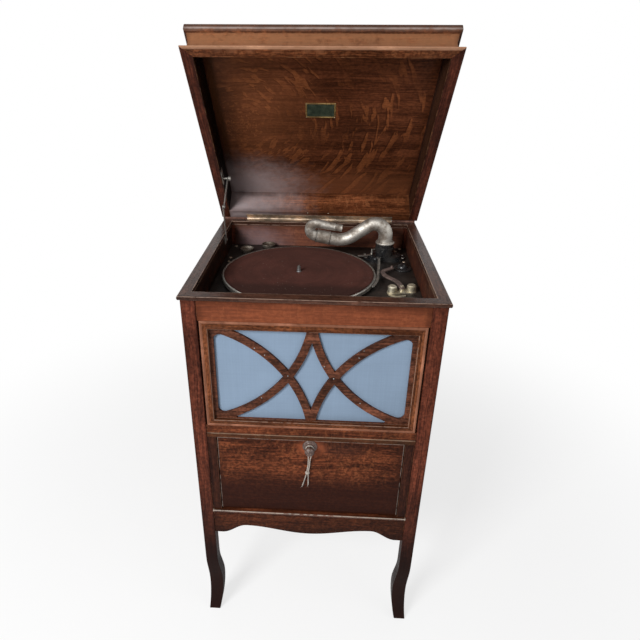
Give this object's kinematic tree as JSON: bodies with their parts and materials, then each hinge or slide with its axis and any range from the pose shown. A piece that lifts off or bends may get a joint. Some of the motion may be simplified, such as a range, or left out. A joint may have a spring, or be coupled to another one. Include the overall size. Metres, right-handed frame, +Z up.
{
  "type": "gramophone cabinet",
  "caption": "Floor-standing wind-up gramophone in an oak cabinet on sabre legs, with coved lid, swan-neck tonearm, fretwork grille and fall-front flap.",
  "frame": {"origin": "on the floor, under the middle of the object's box with the lid open", "axes": "+X to the right of the front, +Y to the back, +Z up"},
  "size_m": [0.455, 0.5138, 1.1751],
  "materials": {
    "oak": "satin varnish",
    "oak_dark": "satin varnish",
    "oak_light": "satin varnish",
    "board_black": "dull varnish",
    "cloth": "woven",
    "string": "twisted",
    "felt": "napped",
    "brass": "aged",
    "nickel": "worn plating",
    "steel": "oiled",
    "japanned": "gloss black",
    "bronzed": "dark bronzed",
    "plaque": "satin"
  },
  "bodies": {
    "case": {"front_posts": "oak", "back_posts": "oak", "rim": "oak_dark", "front_rails": "oak", "flap_stiles": "oak", "ledge_bead": "oak", "front_apron": "oak", "left_panel": "oak", "right_panel": "oak", "back_panel": "oak_dark", "back_rail": "oak_dark", "bottom_board": "oak_dark", "horn_shelf": "oak_dark", "grille_frame": "oak_dark", "grille_moulding": "oak_light", "fret": "oak_dark", "grille_cloth": "cloth", "horn": "oak_dark", "horn_throat": "japanned", "board_bearers": "oak_dark", "motor_board": "board_black", "hinge_case_leaf": "brass", "hinge_pin": "brass", "stay_foot": "nickel", "flap_pivots": "steel", "flap_catch": "brass", "spindle_bush": "brass", "tonearm_base": "japanned", "trip_hook": "nickel", "brake_base": "brass", "needle_cups": "nickel", "board_screws": "brass", "motor_frame": "steel", "winding_escutcheon": "brass"},
    "lid": {"lid_front_rail": "oak", "lid_side_rails": "oak", "lid_back_rail": "oak", "lid_panel": "oak", "lid_plaque": "plaque", "hinge_lid_leaf": "brass", "stay_slot_plate": "nickel"},
    "stay_lower_link": {"stay_lower": "nickel"},
    "stay_upper_link": {"stay_upper": "nickel"},
    "flap": {"flap": "oak", "flap_knob": "oak_dark", "knob_string": "string"},
    "turntable": {"platter": "nickel", "platter_felt": "felt", "spindle": "steel"},
    "intermediate": {"intermediate_wheel": "brass"},
    "barrel": {"spring_barrel": "steel"},
    "governor": {"governor": "brass"},
    "crown": {"barrel_arbor": "steel"},
    "winder": {"winding_shaft": "steel"},
    "tonearm": {"tonearm": "nickel", "tonearm_collar": "nickel"},
    "crook": {"tonearm_crook": "nickel"},
    "brake_lever": {"brake_lever": "bronzed"},
    "brake_arm": {"brake_arm": "nickel"},
    "speed_dial": {"speed_dial": "japanned"}
  },
  "joints": [
    {"name": "lid_open", "type": "hinge", "parent": "case", "child": "lid", "pos_m": [0, 0.21037, 0.7824], "axis": [1, 0, 0], "range_deg": [0, 52]},
    {"name": "stay_foot_turn", "type": "hinge", "parent": "case", "child": "stay_lower_link", "pos_m": [-0.1997, 0.09537, 0.7674], "axis": [1, 0, 0], "range_deg": [0, 96.44]},
    {"name": "stay_elbow_turn", "type": "hinge", "parent": "stay_lower_link", "child": "stay_upper_link", "pos_m": [-0.1976, 0.07737, 0.8444], "axis": [1, 0, 0], "range_deg": [-93.84, 0]},
    {"name": "flap_open", "type": "hinge", "parent": "case", "child": "flap", "pos_m": [0, -0.22883, 0.3124], "axis": [1, 0, 0], "range_deg": [0, 90]},
    {"name": "turntable_spin", "type": "hinge", "parent": "case", "child": "turntable", "pos_m": [-0.034, -0.02093, 0.742], "axis": [0, 0, 1], "continuous": true},
    {"name": "intermediate_spin", "type": "hinge", "parent": "case", "child": "intermediate", "pos_m": [0.0065, -0.02093, 0.6332], "axis": [0, 0, 1], "continuous": true},
    {"name": "barrel_spin", "type": "hinge", "parent": "case", "child": "barrel", "pos_m": [0.059, -0.02093, 0.6332], "axis": [0, 0, 1], "continuous": true},
    {"name": "governor_spin", "type": "hinge", "parent": "case", "child": "governor", "pos_m": [-0.016, -0.05211, 0.6332], "axis": [0, 0, 1], "continuous": true},
    {"name": "winding_turn", "type": "hinge", "parent": "case", "child": "winder", "pos_m": [0.2015, -0.02093, 0.6136], "axis": [1, 0, 0], "continuous": true},
    {"name": "crown_turn", "type": "hinge", "parent": "case", "child": "crown", "pos_m": [0.059, -0.02093, 0.6332], "axis": [0, 0, 1], "continuous": true},
    {"name": "tonearm_swing", "type": "hinge", "parent": "case", "child": "tonearm", "pos_m": [0.146, 0.10507, 0.7645], "axis": [0, 0, 1], "range_deg": [-5, 38]},
    {"name": "crook_turn", "type": "hinge", "parent": "tonearm", "child": "crook", "pos_m": [-0.00326, 0.10507, 0.77823], "axis": [0.9848, 0, -0.1736], "range_deg": [0, 100]},
    {"name": "brake_lever_turn", "type": "hinge", "parent": "case", "child": "brake_lever", "pos_m": [0.1643, -0.07693, 0.7372], "axis": [0, 0, 1], "range_deg": [0, 8]},
    {"name": "brake_arm_turn", "type": "hinge", "parent": "case", "child": "brake_arm", "pos_m": [0.132, 0.07507, 0.741], "axis": [0, 0, 1], "range_deg": [0, 1.7]},
    {"name": "speed_dial_turn", "type": "hinge", "parent": "case", "child": "speed_dial", "pos_m": [0.18, 0.04307, 0.7292], "axis": [0, 0, 1], "range_deg": [-60, 60]}
  ],
  "couplings": [
    {"joint": "stay_foot_turn", "follows": "lid_open", "ratio": 1.845},
    {"joint": "stay_elbow_turn", "follows": "lid_open", "ratio": -1.795},
    {"joint": "intermediate_spin", "follows": "turntable_spin", "ratio": -0.22727},
    {"joint": "barrel_spin", "follows": "turntable_spin", "ratio": 0.037879},
    {"joint": "governor_spin", "follows": "turntable_spin", "ratio": -5},
    {"joint": "crown_turn", "follows": "winding_turn", "ratio": -0.33333},
    {"joint": "brake_arm_turn", "follows": "brake_lever_turn", "ratio": 0.2}
  ]
}
